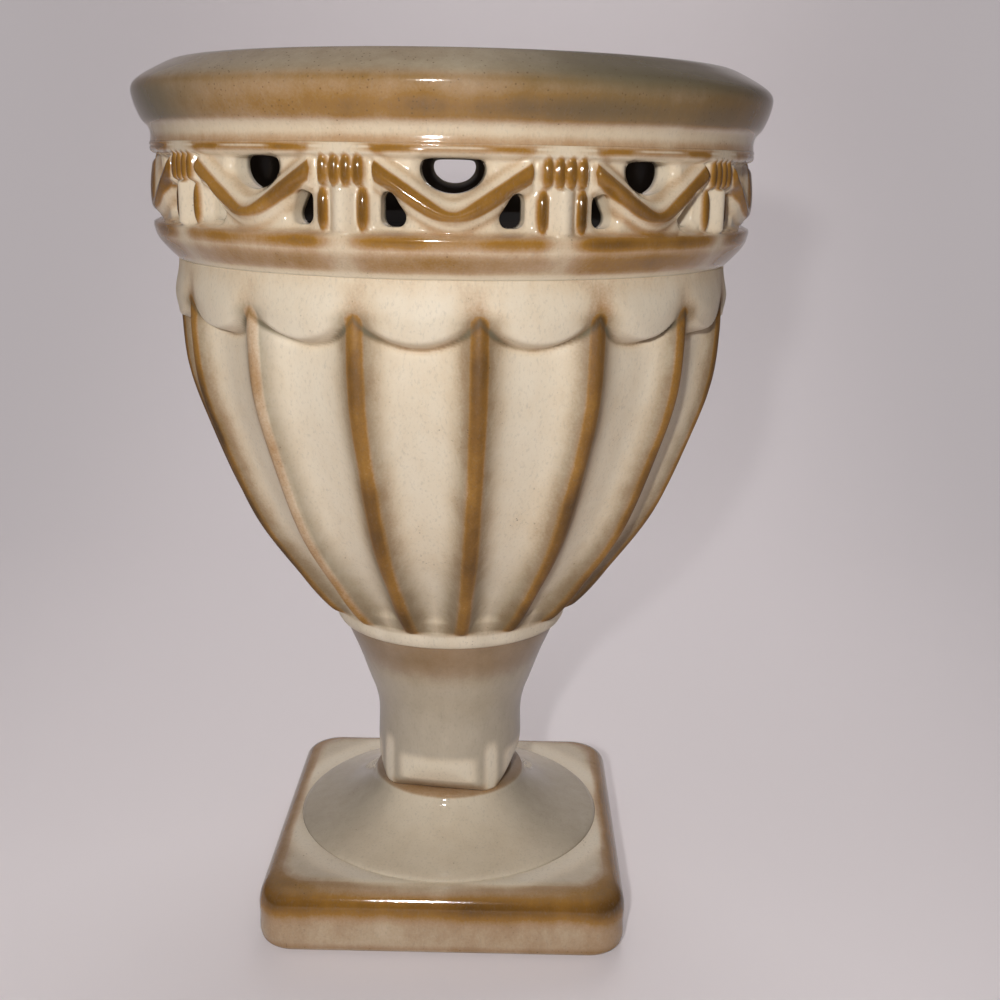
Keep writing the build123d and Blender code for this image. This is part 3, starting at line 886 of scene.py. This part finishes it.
class URN_OT_rim(bpy.types.Operator):
    """Flared lip with a bevelled mouth over a shallow cove"""

    bl_idname = "urn.rim"
    bl_label = "Rim lip"

    def execute(self, context):
        face = curve_through(
            [
                (RAIL_RADIUS, RIM_BASE),
                (60.1, 164.5),
                (60.5, 165.8),
                (61.5, 166.9),
                (62.2, 168.2),
                (62.9, 170.0),
                (63.35, 172.0),
                (63.2, 173.2),
                (62.5, 174.2),
                (60.8, 175.4),
                (58.6, 176.6),
                (56.6, 177.6),
                (55.2, MOUTH_TOP),
                (54.0, 177.6),
                (53.3, 176.3),
            ],
            0.3,
        )
        inside = [(BORE_RADIUS, level) for level in (174.5, 171.5, 168.5, 165.5, RIM_BASE)]
        seat = [(55.5, RIM_BASE), (58.0, RIM_BASE)]
        piece = thrown("rim_lip_glazed", face + inside + seat, 360)
        radius, turn, height = wall(piece)
        set_wall(piece, radius, turn, np.minimum(height, MOUTH_TOP))
        radius, turn, height = wall(piece)

        within = (1 - smooth(radius, 53.2, 54.6)) * (height > RIM_BASE + 0.1)
        bevel = smooth(height, 172.6, 175.2)
        lip = smooth(height, 166.0, 167.2)
        aside = np.sin(np.radians(turn - 15))
        run = 0.25 + 0.75 * bell(off_middle(turn, 1, 20.0), 24.0)
        # The aside terms make the lip browner and the bevel darker towards the right: painted shade on that
        # side.
        thin = 0.14 + (0.24 + 0.14 * smooth(aside, 0.2, 0.7)) * lip - 0.2 * bevel
        thin = thin + 0.42 * run * bell(height - 168.6, 1.9) + 0.08 * bell(height - 173.0, 0.6)
        thin = thin + 0.2 * (1 - smooth(height, 163.2, 165.0))
        # The side mark is painted shade on the lip and the cove, darker towards the right and towards the
        # left.
        side = 0.28 * smooth(aside, -0.4, 0.35) + 0.6 * bell(off_middle(turn, 1, -62.0), 20.0)
        cool = smooth(height, 170.6, 174.6)
        olive = (0.54 + 0.38 * smooth(aside, -0.25, 0.3)) * cool + (0.34 + side) * lip * (1 - cool)
        olive = olive + 0.6 * side * (1 - lip)
        specks = 0.5 + 0.2 * lip
        paint(piece, thin=thin * (1 - within), olive=olive * (1 - within), specks=specks, lining=within)
        settle(piece, "rim_lip", "rim_glaze")
        return {"FINISHED"}


class URN_OT_stage(bpy.types.Operator):
    """Camera, pale floor and lamps"""

    bl_idname = "urn.stage"
    bl_label = "Stage"

    # Lamp places and widths in metres: the key in the camera's own axes, the others in the room
    KEY_OFFSET, KEY_WIDTH = (-0.042, 0.022, 0.1), 0.016
    TOP_PLACE, TOP_WIDTH = (-0.6, -0.4, 0.7), 1.2
    BACK_PLACE, BACK_WIDTH = (0.05, 0.31, 0.5), 0.3
    LAMP_AIM = (0.0, 0.0, 0.1)

    # Distances from the urn, in metres, between which the sheet fades into the backdrop
    FADE_START, FADE_END = 0.1, 0.3

    def execute(self, context):
        stage = context.scene.urn_stage
        self.add_floor(stage)
        place = Vector(stage.camera_place)
        facing = Euler((pi / 2 - stage.camera_pitch, 0, stage.camera_heading)).to_matrix()
        facing = facing @ Matrix.Rotation(stage.camera_roll, 3, "Z")
        bpy.ops.object.camera_add(location=place, rotation=facing.to_euler())
        camera = bpy.context.object
        camera.data.sensor_width = 36.0
        camera.data.lens = stage.lens
        camera.data.clip_start = 0.01
        context.scene.camera = camera

        beside = place + facing @ Vector(self.KEY_OFFSET)
        self.add_lamp("key", beside, self.KEY_WIDTH, stage.key_power)
        self.add_lamp("top", Vector(self.TOP_PLACE), self.TOP_WIDTH, stage.top_power)
        behind = Vector(self.BACK_PLACE)
        self.add_lamp("back", behind, self.BACK_WIDTH, stage.back_power, mirrored=False)
        context.scene.view_settings.view_transform = "Standard"
        self.light_world(context.scene, stage)
        return {"FINISHED"}

    def add_lamp(self, name, place, size, power, mirrored=True):
        aim = (Vector(self.LAMP_AIM) - place).to_track_quat("-Z", "Y").to_euler()
        bpy.ops.object.light_add(type="AREA", location=place, rotation=aim)
        lamp = bpy.context.object
        lamp.name = name
        lamp.data.shape = "DISK"
        lamp.data.size = size
        lamp.data.energy = power
        lamp.visible_camera = False
        lamp.visible_glossy = mirrored

    def add_floor(self, stage):
        """Pale sheet that lies under the urn and sweeps up behind it."""
        bpy.ops.object.select_all(action="DESELECT")
        bpy.ops.mesh.primitive_grid_add(x_subdivisions=4, y_subdivisions=160, size=2.0)
        sheet = bpy.context.object
        sheet.name = "sheet"
        half_width, length, start, bend, rise = 1.6, 3.4, -1.6, 0.25, 0.2
        for vertex in sheet.data.vertices:
            run = (vertex.co.y + 1) / 2 * length + start
            sweep = min(max(run - bend, 0.0) / rise, pi / 2)
            upright = max(run - bend - rise * pi / 2, 0.0)
            ahead = min(run, bend) + rise * sin(sweep)
            vertex.co = (half_width * vertex.co.x, ahead, rise * (1 - cos(sweep)) + upright - 0.2 * MM)
        bpy.ops.object.shade_smooth()
        sheet.data.materials.append(self.paper(stage))

    def paper(self, stage):
        """Pale paper that keeps the shadow near the urn and is plain backdrop far from it."""
        material = bpy.data.materials.new("sheet_paper")
        material.use_nodes = True
        tree = material.node_tree
        shader = tree.nodes["Principled BSDF"]
        shader.inputs["Base Color"].default_value = stage.floor
        shader.inputs["Roughness"].default_value = 0.85
        shader.inputs["Specular IOR Level"].default_value = 0.2
        seen = add_node(tree, "ShaderNodeLightPath").outputs["Is Camera Ray"]
        glow = math_node(tree, "MULTIPLY", seen, stage.glow)
        glow = add_node(tree, "ShaderNodeEmission", {"Color": stage.backdrop, "Strength": glow})
        paper = add_node(tree, "ShaderNodeAddShader", {0: shader.outputs[0], 1: glow.outputs[0]})
        plain = add_node(tree, "ShaderNodeEmission", {"Color": stage.backdrop, "Strength": 1.0})
        place = add_node(tree, "ShaderNodeTexCoord").outputs["Object"]
        place = add_node(tree, "ShaderNodeSeparateXYZ", {0: place}).outputs
        aside = math_node(tree, "MULTIPLY", place["X"], place["X"])
        ahead = math_node(tree, "MINIMUM", place["Y"], 0.0)
        away = math_node(tree, "SQRT", math_node(tree, "MULTIPLY_ADD", ahead, ahead, aside))
        share = math_node(tree, "MULTIPLY", soft_step(tree, away, self.FADE_START, self.FADE_END), seen)
        blend = add_node(tree, "ShaderNodeMixShader", {0: share, 1: paper.outputs[0], 2: plain.outputs[0]})
        tree.links.new(blend.outputs[0], tree.nodes["Material Output"].inputs["Surface"])
        return material

    def light_world(self, scene, stage):
        world = bpy.data.worlds.new("studio")
        scene.world = world
        world.use_nodes = True
        tree = world.node_tree
        seen = add_node(tree, "ShaderNodeLightPath").outputs["Is Camera Ray"]
        sky = tree.nodes["Background"]
        sky.inputs["Color"].default_value = stage.backdrop
        strength = math_node(tree, "MULTIPLY_ADD", seen, 1 - stage.fill, stage.fill)
        tree.links.new(strength, sky.inputs["Strength"])


class URN_PT_panel(bpy.types.Panel):
    """Steps of the urn, in order"""

    bl_idname = "URN_PT_panel"
    bl_label = "Glazed urn"
    bl_space_type = "VIEW_3D"
    bl_region_type = "UI"
    bl_category = "Urn"

    def draw(self, context):
        for group in (context.scene.urn_shape, context.scene.urn_glaze, context.scene.urn_stage):
            box = self.layout.box()
            for name in group.bl_rna.properties.keys():
                if name not in ("rna_type", "name"):
                    box.prop(group, name)
        for operator in OPERATORS:
            self.layout.operator(operator.bl_idname)


GROUPS = {"urn_shape": UrnShape, "urn_glaze": UrnGlaze, "urn_stage": UrnStage}
OPERATORS = (
    URN_OT_stage,
    URN_OT_plinth,
    URN_OT_flare,
    URN_OT_stem,
    URN_OT_bowl,
    URN_OT_gallery,
    URN_OT_rim,
)


def register():
    for group in (*GROUPS.values(), *OPERATORS, URN_PT_panel):
        bpy.utils.register_class(group)
    for name, group in GROUPS.items():
        setattr(bpy.types.Scene, name, PointerProperty(type=group))


def unregister():
    for name in GROUPS:
        delattr(bpy.types.Scene, name)
    for group in (URN_PT_panel, *OPERATORS, *GROUPS.values()):
        bpy.utils.unregister_class(group)


def main():
    register()
    bpy.ops.urn.stage()
    bpy.ops.urn.plinth()
    bpy.ops.urn.flare()
    bpy.ops.urn.stem()
    bpy.ops.urn.bowl()
    bpy.ops.urn.gallery()
    bpy.ops.urn.rim()


if __name__ == "__main__":
    main()
